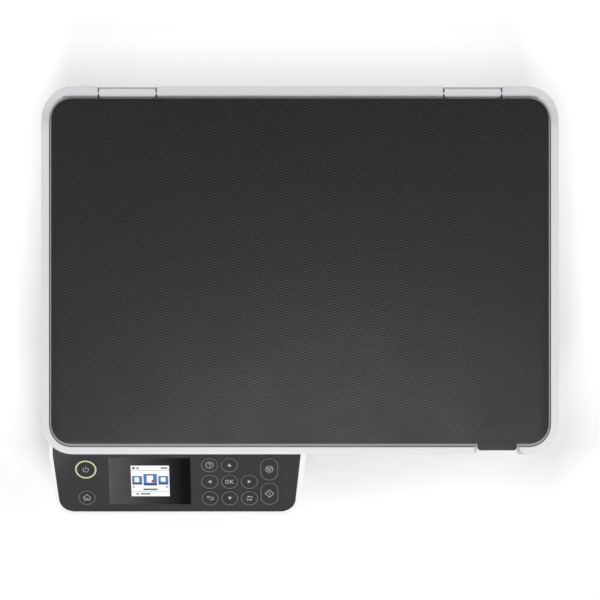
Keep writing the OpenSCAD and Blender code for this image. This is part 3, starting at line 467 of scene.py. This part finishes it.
def moulding(node, width_mm=0.0, angle=40, crease=20):
    """The CAD node as a finished moulding: welded faces, small radii on its edges, even shading.

    A radius that folds a face is tried again without the edges there, then at half its size, then left out.
    """
    src = nodes[node]
    blocked = []
    for attempt in range(FULL_TRIES + HALF_TRIES + 1):
        bm = bmesh.new()
        bm.from_mesh(src.data)
        bmesh.ops.remove_doubles(bm, verts=bm.verts, dist=0.02 * MM)
        bmesh.ops.dissolve_limit(bm, angle_limit=math.radians(0.4), verts=bm.verts, edges=bm.edges)
        width = width_mm * MM * (1.0 if attempt < FULL_TRIES else 0.5)
        plain = width_mm == 0.0 or attempt == FULL_TRIES + HALF_TRIES
        edges = [] if plain else roomy_edges(bm, angle, width * 2.3, blocked)
        rounded_off = set(edges)
        for e in bm.edges:
            e.smooth = e in rounded_off or e.calc_face_angle(0) < math.radians(crease)
        if not edges:
            break
        bmesh.ops.bevel(bm, geom=edges, offset=width, segments=2, profile=0.5, affect="EDGES",
                        clamp_overlap=False, miter_outer="ARC")
        folded = folded_spots(bm)
        if not folded:
            break
        blocked += folded
        bm.free()
    bmesh.ops.triangulate(bm, faces=[f for f in bm.faces if len(f.verts) > 4])
    mesh = bpy.data.meshes.new(node + "_skin")
    bm.to_mesh(mesh)
    bm.free()
    for p in mesh.polygons:
        p.use_smooth = True
    mesh.materials.append(src.data.materials[0])
    o = bpy.data.objects.new(node + "_skin", mesh)
    bpy.context.scene.collection.objects.link(o)
    even = o.modifiers.new("even", "WEIGHTED_NORMAL")
    even.keep_sharp = True
    even.weight = 80
    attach(o, body_of(src)[0])
    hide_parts(node)
    return o


RADII = {
    "base_tray": 0.6, "body_housing": 0.5, "front_frame": 0.6, "rear_cover": 0.4, "scanner_case": 0.7,
    "scanner_bezel": 0.7, "lid_hinges": 0.4, "lid_pad": 0.3, "scan_head": 0.4,
    "panel_housing": 0.4, "panel_fascia": 0.1, "lcd_window": 0.15,
    "cassette_extension": 0.6, "cassette_tray": 0.4, "guide_left": 0.3, "guide_right": 0.3,
    "output_tray": 0.4, "tray_extension": 0.3, "paper_stop": 0.2, "pickup_arm": 0.2,
    "paper_frame": 0.3, "platen": 0.25, "cap_base": 0.25, "carriage": 0.3, "ink_cartridges": 0.3,
    "power_supply": 0.3, "ac_inlet": 0.3, "usb_socket": 0.1, "chassis": 0.1,
}
RADII.update({n: 0.18 for n in nodes if n.startswith("key_")})
# The finger notch's ledge in front of the lid, and how far back and out the gaps beside the hinges lie.
NOTCH_LOW = Vector((127.0, -111.0, 157.0)) * MM
NOTCH_HIGH = Vector((158.7, -104.5, 168.0)) * MM
BAY_FRONT = 140 * MM
BAY_SIDE = 165 * MM


def rim_details(mesh):
    """White finger notch, and painted shade on the cheeks in the gaps beside the lid hinges."""
    mesh.materials.append(body_front)
    mesh.materials.append(painted_gap_shade)
    for p in mesh.polygons:
        if all(NOTCH_LOW[k] < p.center[k] < NOTCH_HIGH[k] for k in range(3)) and p.normal.z > 0.15:
            p.material_index = 1
        # Painted shade: gap walls beside the hinges are coloured dark.
        if abs(p.normal.x) > 0.75 and p.center.y > BAY_FRONT and abs(p.center.x) < BAY_SIDE:
            p.material_index = 2


for n in sorted(nodes):
    if n != "lid_shell":
        done = moulding(n, RADII.get(n, 0.0))
        if n in ("scanner_bezel", "lid_hinges"):
            rim_details(done.data)


# ---------------------------------------------------------------- mesh helpers

def add_mesh(name, body, mats, bm, smooth_deg=None):
    mesh = bpy.data.meshes.new(name)
    bm.to_mesh(mesh)
    bm.free()
    o = bpy.data.objects.new(name, mesh)
    bpy.context.scene.collection.objects.link(o)
    for m in mats:
        mesh.materials.append(m)
    if smooth_deg is not None:
        for p in mesh.polygons:
            p.use_smooth = True
        mesh.set_sharp_from_angle(angle=math.radians(smooth_deg))
    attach(o, body)
    return o


def rounded_loop(x0, x1, y0, y1, r, steps=14):
    """Points of a rounded rectangle, anticlockwise from its front right corner."""
    corners = ((x1, y0, -90), (x1, y1, 0), (x0, y1, 90), (x0, y0, 180))
    pts = []
    for cx, cy, a0 in corners:
        sx = -1 if cx == x1 else 1
        sy = -1 if cy == y1 else 1
        for i in range(steps + 1):
            a = math.radians(a0 + 90 * i / steps)
            pts.append((cx + sx * r + r * math.cos(a), cy + sy * r + r * math.sin(a)))
    return pts


def skin(bm, loops):
    """A closed tube through loops of equal length."""
    rings = [[bm.verts.new(p) for p in loop] for loop in loops]
    n = len(rings[0])
    for a, b in zip(rings, rings[1:]):
        for i in range(n):
            bm.faces.new((a[i], a[(i + 1) % n], b[(i + 1) % n], b[i]))
    bm.faces.new(list(reversed(rings[0])))
    bm.faces.new(rings[-1])


# ---------------------------------------------------------------- lid: silver shell with a dark sheet on it

LID_LO, LID_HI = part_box("lid_shell")
TAB_FRONT = LID_LO.y
LID_FRONT = -103.35 * MM
LID_REAR = 148.9 * MM
LID_X = LID_HI.x
SHEET_LOW = LID_HI.z - 0.9 * MM
TAB_MID = 142.85 * MM
TAB_HALF = 14.1 * MM
SHEET_CORNER = 14.5 * MM


def lid_body():
    """The lid shell, lowered by the sheet's thickness, with its pull tab in the sheet's colour."""
    src = nodes["lid_shell"].data
    bm = bmesh.new()
    bm.from_mesh(src)
    bmesh.ops.remove_doubles(bm, verts=bm.verts, dist=1e-6)
    for v in bm.verts:
        if v.co.z > LID_HI.z - 1.3 * MM and v.co.y > LID_FRONT - 0.2 * MM:
            v.co.z = min(v.co.z, SHEET_LOW)
    for f in bm.faces:
        f.material_index = 1 if f.calc_center_median().y < LID_FRONT - 0.3 * MM else 0
    o = add_mesh("lid_body", "lid", (lip_silver, tab_dark), bm, 32)
    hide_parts("lid_shell")


def lid_sheet_piece():
    """The dark sheet: rounded corners, a soft edge, and a tongue over the pull tab."""
    side, front, rear = 1.2 * MM, 2.05 * MM, 0.25 * MM
    x0, x1 = -LID_X + side, LID_X - side
    y0, y1 = LID_FRONT + front, LID_REAR - rear

    def loop(inner, z):
        half, ys, yf = TAB_HALF - inner, y0 + inner, TAB_FRONT + inner
        far, mid, near = 2.2 * MM, 1.1 * MM, 0.29 * MM
        left = [(-half, ys), (-half, yf + far), (-half + near, yf + mid)]
        left += [(-half + mid, yf + near), (-half + far, yf)]
        tongue = [(TAB_MID + dx, y) for dx, y in left + [(-dx, y) for dx, y in reversed(left)]]
        outline = rounded_loop(x0 + inner, x1 - inner, y0 + inner, y1 - inner, SHEET_CORNER - inner)
        return [(x, y, z) for x, y in tongue + outline]

    bm = bmesh.new()
    skin(bm, [
        loop(0.0, SHEET_LOW - 0.05 * MM),
        loop(0.0, LID_HI.z - 0.42 * MM),
        loop(0.08 * MM, LID_HI.z - 0.2 * MM),
        loop(0.25 * MM, LID_HI.z - 0.06 * MM),
        loop(0.5 * MM, LID_HI.z),
    ])
    bmesh.ops.recalc_face_normals(bm, faces=bm.faces)
    for f in bm.faces:
        f.material_index = 1 if f.calc_center_median().y < LID_FRONT else 0
    add_mesh("lid_sheet", "lid", (lid_sheet(), tab_dark), bm, 30)


lid_body()
lid_sheet_piece()


# ---------------------------------------------------------------- control panel: rings, marks and display

TILT = math.radians(30)
TOP = Vector((0, -112.1 * MM, 126 * MM))
DOWN = Vector((0, -math.cos(TILT), -math.sin(TILT)))
OUT = Vector((0, -math.sin(TILT), math.cos(TILT)))


def on_panel(x, v, w=0.0):
    """A point of the panel in mm: across, down the slope, out of its face."""
    return Vector((x * MM, 0, 0)) + TOP + DOWN * (v * MM) + OUT * (w * MM)


def ribbon(bm, pts, width, w, closed=False, thick=0.05):
    """A printed stroke of even width along 2D points (x, v), raised a hair above height w."""
    n = len(pts)
    left, right = [], []
    for i, (x, v) in enumerate(pts):
        px, pv = pts[(i - 1) % n] if (closed or i) else pts[i]
        nx, nv = pts[(i + 1) % n] if (closed or i < n - 1) else pts[i]
        d1 = Vector((x - px, v - pv))
        d2 = Vector((nx - x, nv - v))
        d1 = d1.normalized() if d1.length else d2.normalized()
        d2 = d2.normalized() if d2.length else d1
        m = Vector((-d1.y - d2.y, d1.x + d2.x))
        m = m.normalized() if m.length > 1e-6 else Vector((-d1.y, d1.x))
        k = width / 2 / max(0.45, m.dot(Vector((-d1.y, d1.x))))
        left.append((x + m.x * k, v + m.y * k))
        right.append((x - m.x * k, v - m.y * k))
    top = [bm.verts.new(on_panel(*p, w + thick)) for p in left + right]
    low = [bm.verts.new(on_panel(*p, w - 0.02)) for p in left + right]
    last = n if closed else n - 1
    for i in range(last):
        j = (i + 1) % n
        bm.faces.new((top[i], top[j], top[n + j], top[n + i]))
        bm.faces.new((low[i], low[n + i], low[n + j], low[j]))
        bm.faces.new((top[i], low[i], low[j], top[j]))
        bm.faces.new((top[n + j], low[n + j], low[n + i], top[n + i]))
    if not closed:
        for a in (0, n - 1):
            bm.faces.new((top[a], top[n + a], low[n + a], low[a]))


def patch(bm, pts, w, thick=0.05):
    """A filled printed shape."""
    top = [bm.verts.new(on_panel(x, v, w + thick)) for x, v in pts]
    low = [bm.verts.new(on_panel(x, v, w - 0.02)) for x, v in pts]
    n = len(pts)
    bm.faces.new(top)
    bm.faces.new(list(reversed(low)))
    for i in range(n):
        j = (i + 1) % n
        bm.faces.new((top[i], low[i], low[j], top[j]))


def finish_marks(name, body, mat, bm):
    bmesh.ops.recalc_face_normals(bm, faces=bm.faces)
    add_mesh(name, body, (mat,), bm)


def arc(cx, cv, r, a0=0, a1=360, n=40):
    """Points of an arc; angles turn from right towards the top of the panel."""
    closed = abs(a1 - a0) >= 360
    m = n if closed else n + 1
    return [(cx + r * math.cos(math.radians(a0 + (a1 - a0) * i / n)),
             cv - r * math.sin(math.radians(a0 + (a1 - a0) * i / n))) for i in range(m)]


def stadium(cx, cv, r, half, n=16):
    up = [(cx + r * math.cos(math.radians(a)), cv - (half - r) - r * math.sin(math.radians(a)))
          for a in [180 * i / n for i in range(n + 1)]]
    low = [(cx + r * math.cos(math.radians(a)), cv + (half - r) - r * math.sin(math.radians(a)))
           for a in [180 + 180 * i / n for i in range(n + 1)]]
    return up + low


# Height of the key tops, and the columns and rows of keys, in mm on the panel.
FACE = 0.4
PITCH = 14.8
COL = (-67.1, -52.4, -37.7, -22.8)
ROW = (8.4, 8.4 + PITCH, 8.4 + 2 * PITCH)
LEFT_COL, POWER_ROW, HOME_ROW = -159, 12.4, 37.5
STOP_ROW, START_ROW = 12.1, 33.9


def key_marks(key, x, v, draw, ring=None):
    """The printed ring and mark on one key."""
    body = "button_" + key
    bm = bmesh.new()
    outline = ring or arc(x, v, 6.05, n=56)
    ribbon(bm, outline, 0.5, FACE, closed=True)
    finish_marks("ring_" + key, body, ring_grey, bm)
    bm = bmesh.new()
    draw(bm, x, v)
    finish_marks("mark_" + key, body, mark_grey, bm)


def triangle(dx, dv, size=1.45):
    """An arrow head that points along (dx, dv)."""
    def draw(bm, x, v):
        tip = (x + dx * size, v + dv * size)
        side = (-dv, dx)
        a = (x - dx * size * 0.8 + side[0] * size * 1.05, v - dv * size * 0.8 + side[1] * size * 1.05)
        b = (x - dx * size * 0.8 - side[0] * size * 1.05, v - dv * size * 0.8 - side[1] * size * 1.05)
        patch(bm, [tip, a, b], FACE)
    return draw


def help_mark(bm, x, v):
    ribbon(bm, arc(x, v, 2.75, n=36), 0.36, FACE, closed=True)
    ribbon(bm, arc(x, v - 0.55, 0.95, 170, -60, 12) + [(x, v + 0.65)], 0.42, FACE)
    patch(bm, arc(x, v + 1.45, 0.3, n=10), FACE)


def ok_mark(bm, x, v):
    ribbon(bm, stadium(x - 1.75, v, 1.15, 1.45, 12), 0.46, FACE, closed=True)
    ribbon(bm, [(x + 0.6, v - 1.6), (x + 0.6, v + 1.6)], 0.46, FACE)
    ribbon(bm, [(x + 2.7, v - 1.6), (x + 0.85, v + 0.1), (x + 2.8, v + 1.6)], 0.46, FACE)


def back_mark(bm, x, v):
    bend = arc(x + 1.2, v + 0.2, 1.2, 80, -90, 10)
    ribbon(bm, [(x - 1.3, v - 1.0), (x + 1.2, v - 1.0)] + bend + [(x - 0.2, v + 1.4)], 0.46, FACE)
    patch(bm, [(x - 2.6, v - 1.0), (x - 1.2, v - 2.0), (x - 1.2, v)], FACE)


def sides_mark(bm, x, v):
    ribbon(bm, [(x + 1.9, v - 0.2), (x + 1.9, v - 1.3), (x - 0.7, v - 1.3)], 0.46, FACE)
    patch(bm, [(x - 1.9, v - 1.3), (x - 0.6, v - 2.2), (x - 0.6, v - 0.4)], FACE)
    ribbon(bm, [(x - 1.9, v + 0.3), (x - 1.9, v + 1.4), (x + 0.7, v + 1.4)], 0.46, FACE)
    patch(bm, [(x + 1.9, v + 1.4), (x + 0.6, v + 0.5), (x + 0.6, v + 2.3)], FACE)


def stop_mark(bm, x, v):
    ribbon(bm, arc(x, v, 2.7, n=36), 0.4, FACE, closed=True)
    ribbon(bm, [(x - 1.5, v - 0.9), (x + 1.5, v - 0.9), (x, v + 1.6)], 0.4, FACE, closed=True)


def start_mark(bm, x, v):
    ribbon(bm, [(x, v - 3.2), (x + 3.2, v), (x, v + 3.2), (x - 3.2, v)], 0.45, FACE, closed=True)
    ribbon(bm, [(x, v - 1.3), (x, v + 1.3)], 0.45, FACE)


def power_mark(bm, x, v):
    ribbon(bm, arc(x, v + 0.2, 2.0, 125, 415, 24), 0.45, FACE)
    ribbon(bm, [(x, v - 2.5), (x, v - 0.1)], 0.45, FACE)


def home_mark(bm, x, v):
    ribbon(bm, [(x - 3.1, v + 0.1), (x, v - 2.7), (x + 3.1, v + 0.1)], 0.42, FACE)
    wall = [(-2.0, -0.6), (-2.0, 2.3), (-0.6, 2.3), (-0.6, 0.8)]
    wall += [(-dx, dv) for dx, dv in reversed(wall)]
    ribbon(bm, [(x + dx, v + dv) for dx, dv in wall], 0.42, FACE)


key_marks("help", COL[0], ROW[0], help_mark)
key_marks("up", COL[1], ROW[0], triangle(0, -1))
key_marks("left", COL[0], ROW[1], triangle(-1, 0))
key_marks("ok", COL[1], ROW[1], ok_mark)
key_marks("right", COL[2], ROW[1], triangle(1, 0))
key_marks("back", COL[0], ROW[2], back_mark)
key_marks("down", COL[1], ROW[2], triangle(0, 1))
key_marks("sides", COL[2], ROW[2], sides_mark)
key_marks("stop", COL[3], STOP_ROW, stop_mark, stadium(COL[3], STOP_ROW, 6.35, 9.65))
key_marks("start", COL[3], START_ROW, start_mark, stadium(COL[3], START_ROW, 6.35, 9.65))
key_marks("home", LEFT_COL, HOME_ROW, home_mark, arc(LEFT_COL, HOME_ROW, 6.1, n=56))

bm = bmesh.new()
ribbon(bm, arc(LEFT_COL, POWER_ROW, 7.35, n=64), 1.2, FACE, closed=True)
finish_marks("ring_power", "button_power", ring_green, bm)
bm = bmesh.new()
power_mark(bm, LEFT_COL, POWER_ROW)
finish_marks("mark_power", "button_power", mark_grey, bm)


# ---------------------------------------------------------------- what the display shows

# Left, right, upper and lower edge of the lit screen, in mm on the panel.
SX0, SX1, SV0, SV1 = -125.7, -97.2, 9.2, 36.5
PAPER = screen_light("lit_white", srgb(252, 253, 254), 0.92)
BLUE = screen_light("lit_blue", srgb(92, 132, 192), 0.8)
DARKER = screen_light("lit_deep_blue", srgb(58, 84, 140), 0.75)
GREY = screen_light("lit_grey", srgb(120, 122, 128), 0.6)
INK = screen_light("lit_ink", srgb(30, 32, 36), 0.4)
RED = screen_light("lit_red", srgb(206, 60, 58), 0.8)
GREEN = screen_light("lit_green", srgb(110, 170, 90), 0.8)


def plate(name, mat, shapes, level):
    """Flat lit shapes of the display, each layer a hair above the last."""
    bm = bmesh.new()
    for pts in shapes:
        patch(bm, pts, level, 0.02)
    finish_marks(name, "panel", mat, bm)


def rect(x0, x1, v0, v1):
    return [(x0, v0), (x1, v0), (x1, v1), (x0, v1)]


SMID = (SX0 + SX1) / 2
plate("view_back", PAPER, [rect(SX0, SX1, SV0, SV1)], 0.02)
plate("view_tiles", BLUE, [
    rect(SMID - 5.0, SMID + 5.0, SV0 + 7.4, SV0 + 17.6),
    rect(SX0 + 0.8, SX0 + 8.2, SV0 + 9.2, SV0 + 16.8),
    rect(SX1 - 8.2, SX1 - 0.8, SV0 + 9.2, SV0 + 16.8),
], 0.05)
plate("view_tile_shade", DARKER, [
    rect(SMID - 5.0, SMID + 5.0, SV0 + 15.9, SV0 + 17.6),
    rect(SX0 + 0.8, SX0 + 8.2, SV0 + 15.6, SV0 + 16.8),
    rect(SX1 - 8.2, SX1 - 0.8, SV0 + 15.6, SV0 + 16.8),
], 0.08)
plate("view_pages", PAPER, [
    rect(SMID - 2.6, SMID + 2.2, SV0 + 8.8, SV0 + 15.0),
    rect(SX0 + 2.6, SX0 + 6.0, SV0 + 10.4, SV0 + 14.6),
    rect(SX1 - 6.4, SX1 - 2.8, SV0 + 10.4, SV0 + 14.2),
], 0.08)
plate("view_lines", GREY, [
    rect(SX0, SX1, SV0 + 4.0, SV0 + 4.25),
    rect(SX0 + 1.0, SX0 + 3.2, SV0 + 1.3, SV0 + 3.0),
    rect(SX0 + 4.2, SX0 + 6.0, SV0 + 1.6, SV0 + 2.9),
    rect(SX1 - 6.2, SX1 - 1.2, SV0 + 1.5, SV0 + 2.7),
    rect(SMID - 5.2, SMID + 5.2, SV0 + 20.4, SV0 + 21.8),
    rect(SX0, SX1, SV1 - 4.3, SV1 - 4.1),
    rect(SX0 + 7.0, SX0 + 14.0, SV1 - 2.8, SV1 - 1.6),
], 0.08)
plate("view_arrows", INK, [
    [(SX0 + 0.9, SV0 + 18.9), (SX0 + 2.3, SV0 + 18.0), (SX0 + 2.3, SV0 + 19.8)],
    [(SX1 - 0.9, SV0 + 18.9), (SX1 - 2.3, SV0 + 18.0), (SX1 - 2.3, SV0 + 19.8)],
], 0.08)
plate("view_dot", RED, [arc(SMID + 2.0, SV0 + 13.6, 1.15, n=18)], 0.11)
plate("view_ready", GREEN, [arc(SX0 + 4.6, SV1 - 2.2, 1.0, n=16)], 0.11)


# ---------------------------------------------------------------- floor, light and camera

paper = Mat("sweep_paper", 0.9, spec=0.2)
paper.colour(paper.mix(paper.span(paper.noise(300, 2), 0.3, 0.7), srgb(227, 227, 228), srgb(231, 231, 232)))
paper.b.inputs["Emission Color"].default_value = (1, 1, 1, 1)
# Painted light and shadow: the sweep glows beyond these lines round the body and towards the back, far from
# the front lamp, so near the body it stays darker as painted shadow.
NEAR_LEFT, NEAR_RIGHT = -187.5 * MM, 199 * MM
NEAR_FRONT, NEAR_REAR = -110 * MM, 158 * MM
px, py = paper.axes()[:2]
aside = paper.math("MAXIMUM", paper.math("SUBTRACT", px, NEAR_RIGHT), paper.math("SUBTRACT", NEAR_LEFT, px))
ahead = paper.math("MAXIMUM", paper.math("SUBTRACT", py, NEAR_REAR), paper.math("SUBTRACT", NEAR_FRONT, py))
beyond = paper.math("ADD", paper.math("MAXIMUM", aside, 0.0), paper.math("MAXIMUM", ahead, 0.0))
painted_light_off_body = paper.span(beyond, 8 * MM, 48 * MM, 0.0, 0.22)
painted_light_to_rear = paper.span(py, -130 * MM, 170 * MM, 0.0, 0.34)
painted_floor_light = paper.math("ADD", painted_light_off_body, painted_light_to_rear)
paper.put(paper.b.inputs["Emission Strength"], painted_floor_light)
bm = bmesh.new()
bm.faces.new([bm.verts.new((x, y, 0)) for x, y in ((-4, -4), (4, -4), (4, 4), (-4, 4))])
floor_mesh = bpy.data.meshes.new("floor")
bm.to_mesh(floor_mesh)
bm.free()
floor_mesh.materials.append(paper.m)
floor = bpy.data.objects.new("floor", floor_mesh)
bpy.context.scene.collection.objects.link(floor)


def area(name, at, aim, size, power):
    """A soft box aimed at a point."""
    light = bpy.data.lights.new(name, "AREA")
    light.shape = "RECTANGLE"
    light.size, light.size_y = size
    light.energy = power
    o = bpy.data.objects.new(name, light)
    bpy.context.scene.collection.objects.link(o)
    o.location = at
    o.rotation_euler = (Vector(aim) - Vector(at)).to_track_quat("-Z", "Y").to_euler()


area("key_box", (0.05, -0.85, 2.1), (0, 0, 0.1), (0.7, 0.5), 30.0)
area("left_box", (-1.3, 0.1, 2.0), (0, 0, 0.1), (1.0, 1.2), 7.2)
area("right_box", (1.3, 0.1, 2.0), (0, 0, 0.1), (1.0, 1.2), 6.7)
area("rear_box", (0, 1.2, 2.0), (0, 0, 0.1), (1.2, 0.6), 2.6)

world = bpy.data.worlds.new("studio")
bpy.context.scene.world = world
world.use_nodes = True
world.node_tree.nodes["Background"].inputs["Color"].default_value = (1, 1, 1, 1)
sky = world.node_tree.nodes
sky_links = world.node_tree.links
sky_way = sky.new("ShaderNodeTexCoord")
sky_parts = sky.new("ShaderNodeSeparateXYZ")
sky_fall = sky.new("ShaderNodeMapRange")
# Brighter at the horizon than overhead.
for socket, value in (("From Min", 0.0), ("From Max", 0.5), ("To Min", 0.62), ("To Max", 0.18)):
    sky_fall.inputs[socket].default_value = value
sky_links.new(sky_way.outputs["Generated"], sky_parts.inputs["Vector"])
sky_links.new(sky_parts.outputs["Z"], sky_fall.inputs["Value"])
sky_links.new(sky_fall.outputs["Result"], sky["Background"].inputs["Strength"])

cam = bpy.data.cameras.new("camera")
cam.lens = 165.7
cam.sensor_width = 36
cam_o = bpy.data.objects.new("camera", cam)
bpy.context.scene.collection.objects.link(cam_o)
cam_o.location = (0, 0.0028, 2.17)
bpy.context.scene.camera = cam_o
bpy.context.scene.view_settings.view_transform = "Standard"
